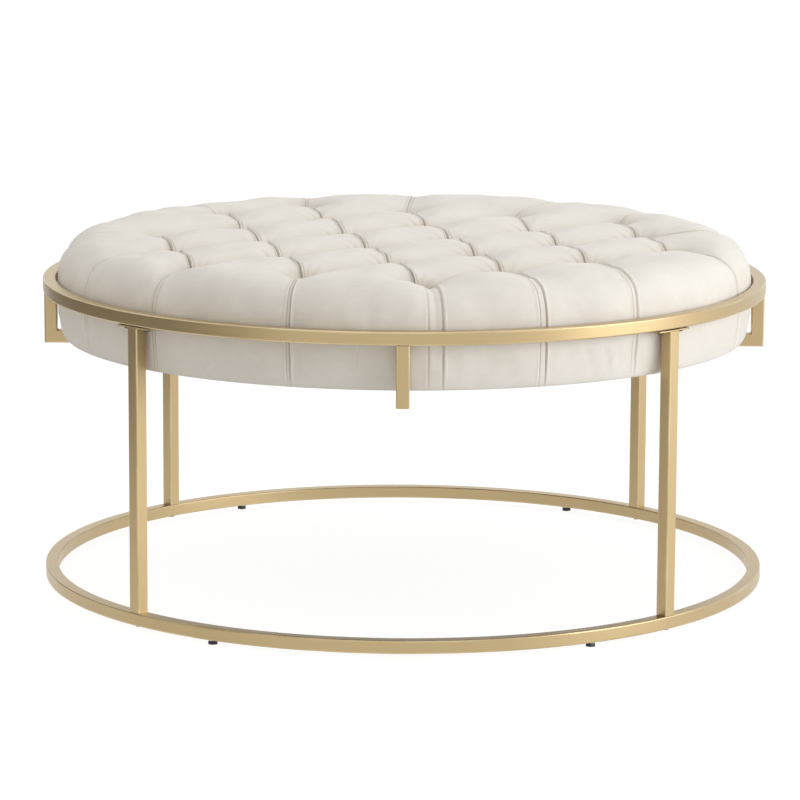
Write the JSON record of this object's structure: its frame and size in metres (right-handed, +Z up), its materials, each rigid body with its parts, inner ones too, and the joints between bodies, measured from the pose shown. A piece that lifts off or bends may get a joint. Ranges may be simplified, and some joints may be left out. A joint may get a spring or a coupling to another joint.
{
  "type": "ottoman coffee table",
  "caption": "Round tufted ottoman coffee table: a deep-buttonless diamond-tufted velvet seat hung in a frame of square-tube hoops and legs, for a tray, feet or sitting.",
  "frame": {"origin": "on the floor under the centre of the hoops", "axes": "+Z up, -Y towards the front as pictured, +X to the viewer's right"},
  "size_m": [0.9144, 0.9144, 0.436],
  "materials": {
    "frame_metal": "satin champagne-gold plate",
    "plate_metal": "satin champagne-gold plate",
    "plug_metal": "plain steel",
    "velvet": "ivory velvet, short pile",
    "foam": "open cell foam",
    "wadding": "loose polyester fibre",
    "plywood": "raw plywood",
    "cambric": "thin non-woven cloth",
    "twine": "waxed twine",
    "nylon": "black nylon",
    "zinc": "bright zinc plate",
    "dark_bolts": "black oxide",
    "brass_washers": "bright brass"
  },
  "bodies": {
    "frame": {"base_board": "plywood", "cross_bar_left": "frame_metal", "cross_bar_long": "frame_metal", "cross_bar_right": "frame_metal", "dust_cover": "cambric", "foam_core": "foam", "foot_bolts": "dark_bolts", "foot_washers": "brass_washers", "glide_inserts": "zinc", "hanger_front": "frame_metal", "hanger_left": "frame_metal", "hanger_rear": "frame_metal", "hanger_right": "frame_metal", "leg_front_left": "frame_metal", "leg_front_right": "frame_metal", "leg_plate_front_left": "plate_metal", "leg_plate_front_right": "plate_metal", "leg_plate_rear_left": "plate_metal", "leg_plate_rear_right": "plate_metal", "leg_plug_front_left": "plug_metal", "leg_plug_front_right": "plug_metal", "leg_plug_rear_left": "plug_metal", "leg_plug_rear_right": "plug_metal", "leg_rear_left": "frame_metal", "leg_rear_right": "frame_metal", "lower_hoop": "frame_metal", "plate_inserts": "zinc", "plate_screws": "dark_bolts", "seat_cover": "velvet", "seat_screws": "dark_bolts", "seat_washers": "zinc", "tee_nuts": "zinc", "tuft_ties": "twine", "upper_hoop": "frame_metal", "wadding": "wadding"},
    "glide_front_left": {"glide_pad_front_left": "nylon", "glide_stem_front_left": "zinc"},
    "glide_front_right": {"glide_pad_front_right": "nylon", "glide_stem_front_right": "zinc"},
    "glide_rear_right": {"glide_pad_rear_right": "nylon", "glide_stem_rear_right": "zinc"},
    "glide_rear_left": {"glide_pad_rear_left": "nylon", "glide_stem_rear_left": "zinc"}
  },
  "joints": [
    {"name": "level_front_left", "type": "slide", "parent": "frame", "child": "glide_front_left", "axis": [0, 0, -1], "range_m": [0, 0.008]},
    {"name": "level_front_right", "type": "slide", "parent": "frame", "child": "glide_front_right", "axis": [0, 0, -1], "range_m": [0, 0.008]},
    {"name": "level_rear_right", "type": "slide", "parent": "frame", "child": "glide_rear_right", "axis": [0, 0, -1], "range_m": [0, 0.008]},
    {"name": "level_rear_left", "type": "slide", "parent": "frame", "child": "glide_rear_left", "axis": [0, 0, -1], "range_m": [0, 0.008]}
  ]
}
